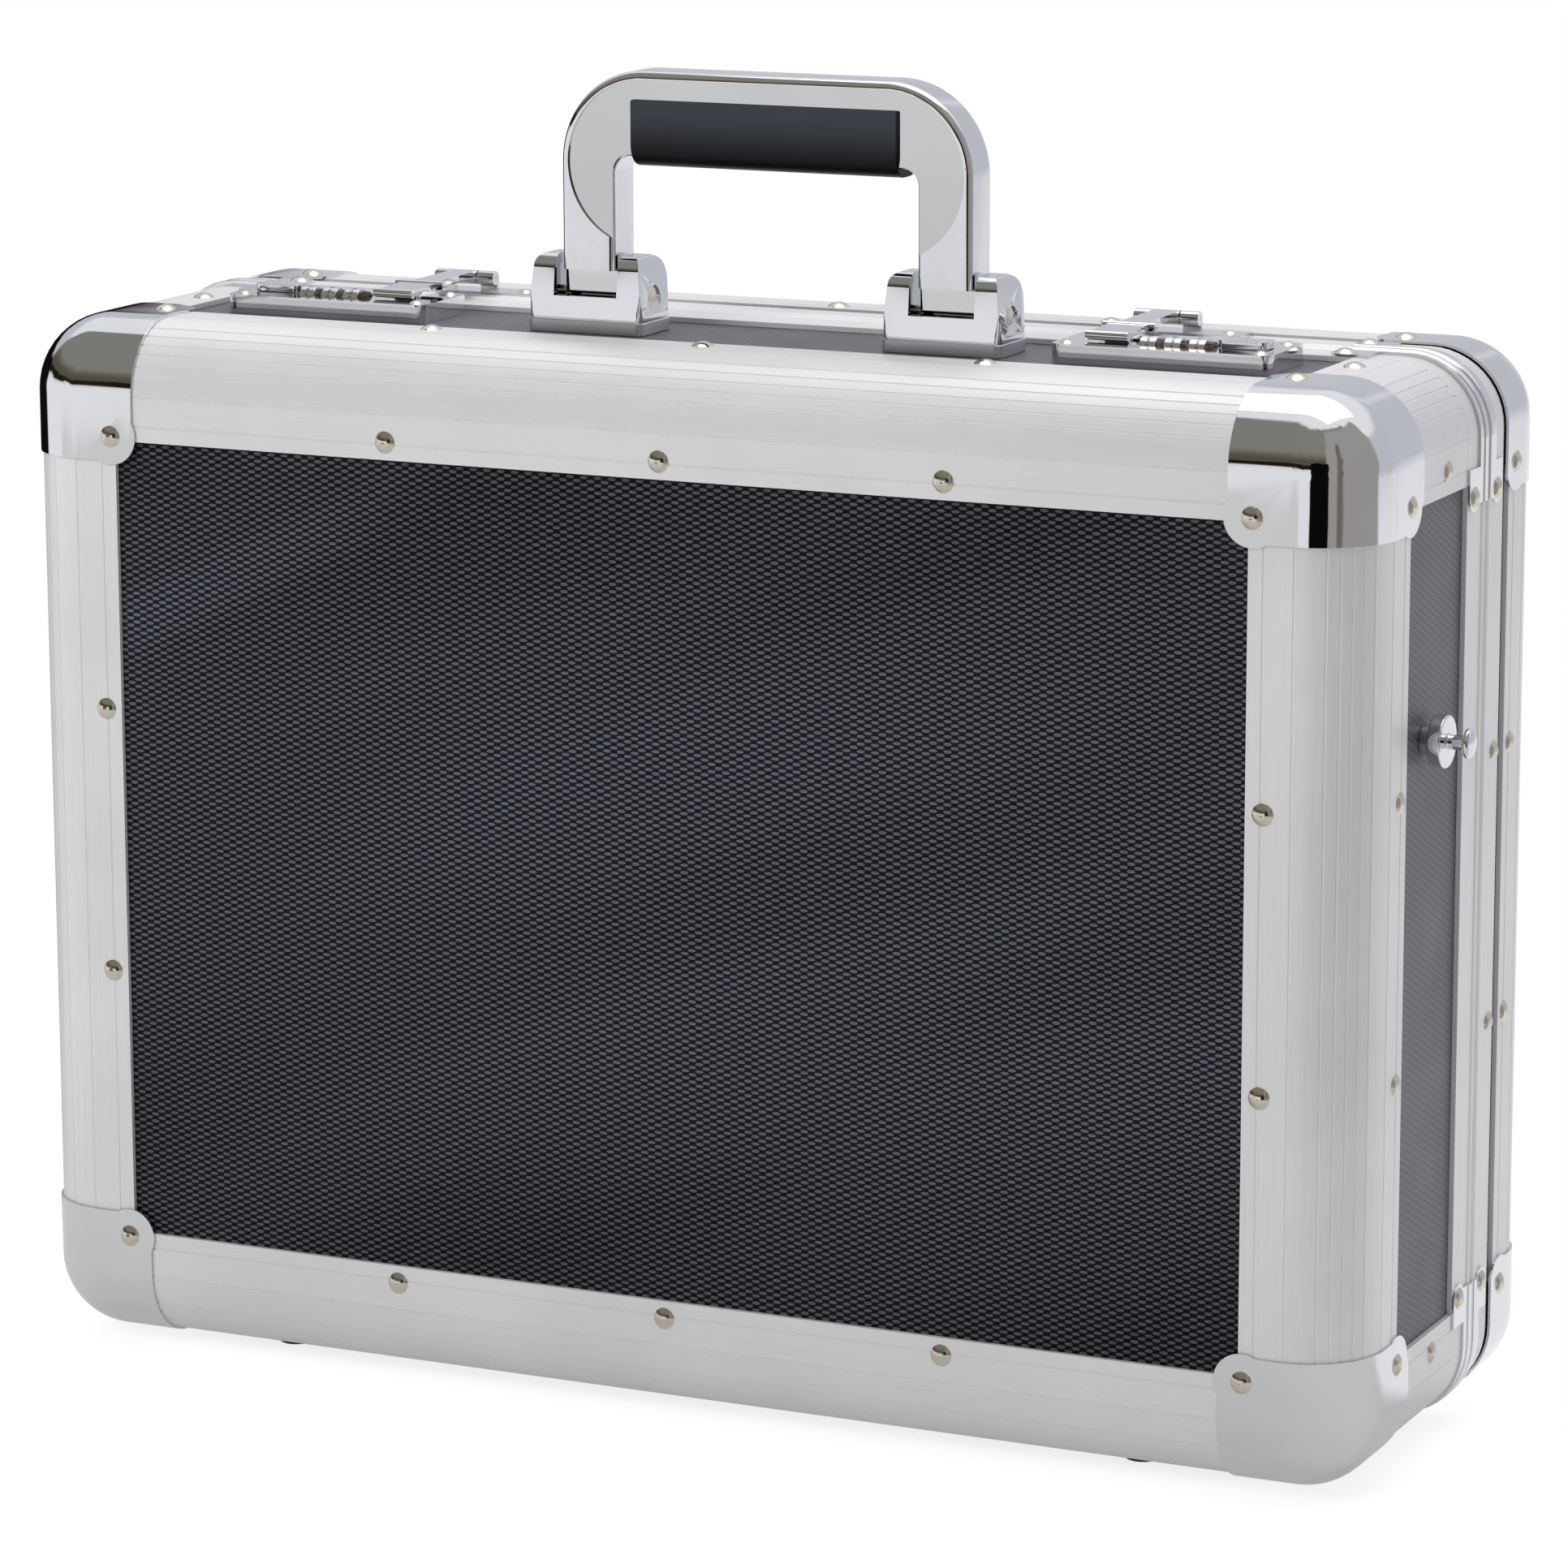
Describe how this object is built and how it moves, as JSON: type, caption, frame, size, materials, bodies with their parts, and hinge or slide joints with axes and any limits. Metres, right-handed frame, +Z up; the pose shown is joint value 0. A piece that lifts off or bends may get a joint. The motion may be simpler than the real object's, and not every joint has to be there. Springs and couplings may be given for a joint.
{
  "type": "laptop hard case",
  "caption": "Aluminium-framed laptop hard case with dark textured panels, chrome corners, swinging bail handle, two combination locks with hasps and a hinged lid.",
  "frame": {"origin": "centre of the bounding box's bottom: the floor under the glides, middle of the width and of the depth", "axes": "+X along the case's width to the right as seen from the front, +Y from the front panel towards the lid, +Z up towards the handle"},
  "size_m": [0.4894, 0.1696, 0.4201],
  "materials": {
    "aluminium": "satin anodised, fine lines along the length",
    "chrome": "polished plating",
    "nickel": "nickel plated, bright",
    "panel_weave": "black with a fine grey woven pattern of short dashes",
    "panel_side": "slate grey, slightly textured",
    "rubber": "matte",
    "grip": "satin black",
    "foam": "soft covered foam"
  },
  "bodies": {
    "base": {"front_panel": "panel_weave", "base_side_panels": "panel_side", "front_edge_profiles": "aluminium", "depth_edge_profiles": "aluminium", "base_lip_frame": "aluminium", "front_corner_caps": "chrome", "base_lip_brackets": "chrome", "base_rivets": "nickel", "hinge_base_leaf": "aluminium", "hinge_pin": "nickel", "base_glides": "rubber", "handle_feet": "chrome", "handle_foot_plates": "chrome", "handle_pins": "nickel", "lock_plate_left": "chrome", "lock_plate_right": "chrome", "dial_spindles": "nickel", "strap_studs": "chrome", "stay_pins_base": "nickel", "base_lining": "foam"},
    "lid": {"rear_panel": "panel_weave", "lid_side_strips": "panel_side", "rear_edge_profiles": "aluminium", "lid_lip_frame": "aluminium", "lid_corner_blocks": "panel_side", "rear_corner_caps": "chrome", "lid_lip_brackets": "chrome", "lid_rivets": "nickel", "hinge_lid_leaf": "aluminium", "lid_glides": "rubber", "hasp_brackets": "chrome", "hasp_pins": "nickel", "stay_pins_lid": "nickel", "lid_lining": "foam"},
    "handle": {"handle_bail": "chrome", "handle_grip": "grip"},
    "hasp_left": {"hasp_left": "chrome"},
    "hasp_right": {"hasp_right": "chrome"},
    "button_left": {"slide_button_left": "chrome"},
    "button_right": {"slide_button_right": "chrome"},
    "stay_arm_left": {"stay_arm_left": "aluminium"},
    "stay_arm_right": {"stay_arm_right": "aluminium"},
    "stay_link_left": {"stay_link_left": "aluminium"},
    "stay_link_right": {"stay_link_right": "aluminium"},
    "dial_left_1": {"dial_left_1": "nickel"},
    "dial_left_2": {"dial_left_2": "nickel"},
    "dial_left_3": {"dial_left_3": "nickel"},
    "dial_right_1": {"dial_right_1": "nickel"},
    "dial_right_2": {"dial_right_2": "nickel"},
    "dial_right_3": {"dial_right_3": "nickel"}
  },
  "joints": [
    {"name": "lid_hinge", "type": "hinge", "parent": "base", "child": "lid", "pos_m": [0, 0.023, 0.0019], "axis": [-1, 0, 0], "range_deg": [0, 95]},
    {"name": "handle_hinge", "type": "hinge", "parent": "base", "child": "handle", "pos_m": [0.01, -0.0196, 0.3486], "axis": [1, 0, 0], "range_deg": [-44, 44]},
    {"name": "hasp_hinge_left", "type": "hinge", "parent": "lid", "child": "hasp_left", "pos_m": [-0.1235, 0.0275, 0.3446], "axis": [-1, 0, 0], "range_deg": [0, 110]},
    {"name": "button_slide_left", "type": "slide", "parent": "base", "child": "button_left", "axis": [-1, 0, 0], "range_m": [0, 0.005], "stiffness_N_per_m": 300, "springref_m": -0.001},
    {"name": "dial_spin_left_1", "type": "hinge", "parent": "base", "child": "dial_left_1", "pos_m": [-0.138, -0.02, 0.34125], "axis": [1, 0, 0], "continuous": true},
    {"name": "dial_spin_left_2", "type": "hinge", "parent": "base", "child": "dial_left_2", "pos_m": [-0.146, -0.02, 0.34125], "axis": [1, 0, 0], "continuous": true},
    {"name": "dial_spin_left_3", "type": "hinge", "parent": "base", "child": "dial_left_3", "pos_m": [-0.154, -0.02, 0.34125], "axis": [1, 0, 0], "continuous": true},
    {"name": "stay_arm_pivot_left", "type": "hinge", "parent": "base", "child": "stay_arm_left", "pos_m": [-0.222, 0.0133, 0.06314], "axis": [-1, 0, 0], "range_deg": [0, 95]},
    {"name": "stay_link_pivot_left", "type": "hinge", "parent": "lid", "child": "stay_link_left", "pos_m": [-0.2203, 0.0327, 0.06314], "axis": [-1, 0, 0], "range_deg": [-95, 0]},
    {"name": "hasp_hinge_right", "type": "hinge", "parent": "lid", "child": "hasp_right", "pos_m": [0.1235, 0.0275, 0.3446], "axis": [-1, 0, 0], "range_deg": [0, 110]},
    {"name": "button_slide_right", "type": "slide", "parent": "base", "child": "button_right", "axis": [1, 0, 0], "range_m": [0, 0.005], "stiffness_N_per_m": 300, "springref_m": -0.001},
    {"name": "dial_spin_right_1", "type": "hinge", "parent": "base", "child": "dial_right_1", "pos_m": [0.138, -0.02, 0.34125], "axis": [1, 0, 0], "continuous": true},
    {"name": "dial_spin_right_2", "type": "hinge", "parent": "base", "child": "dial_right_2", "pos_m": [0.146, -0.02, 0.34125], "axis": [1, 0, 0], "continuous": true},
    {"name": "dial_spin_right_3", "type": "hinge", "parent": "base", "child": "dial_right_3", "pos_m": [0.154, -0.02, 0.34125], "axis": [1, 0, 0], "continuous": true},
    {"name": "stay_arm_pivot_right", "type": "hinge", "parent": "base", "child": "stay_arm_right", "pos_m": [0.222, 0.0133, 0.06314], "axis": [-1, 0, 0], "range_deg": [0, 95]},
    {"name": "stay_link_pivot_right", "type": "hinge", "parent": "lid", "child": "stay_link_right", "pos_m": [0.2203, 0.0327, 0.06314], "axis": [-1, 0, 0], "range_deg": [-95, 0]}
  ],
  "couplings": [
    {"joint": "stay_arm_pivot_left", "follows": "lid_hinge", "ratio": 1},
    {"joint": "stay_link_pivot_left", "follows": "lid_hinge", "ratio": -1},
    {"joint": "stay_arm_pivot_right", "follows": "lid_hinge", "ratio": 1},
    {"joint": "stay_link_pivot_right", "follows": "lid_hinge", "ratio": -1}
  ]
}
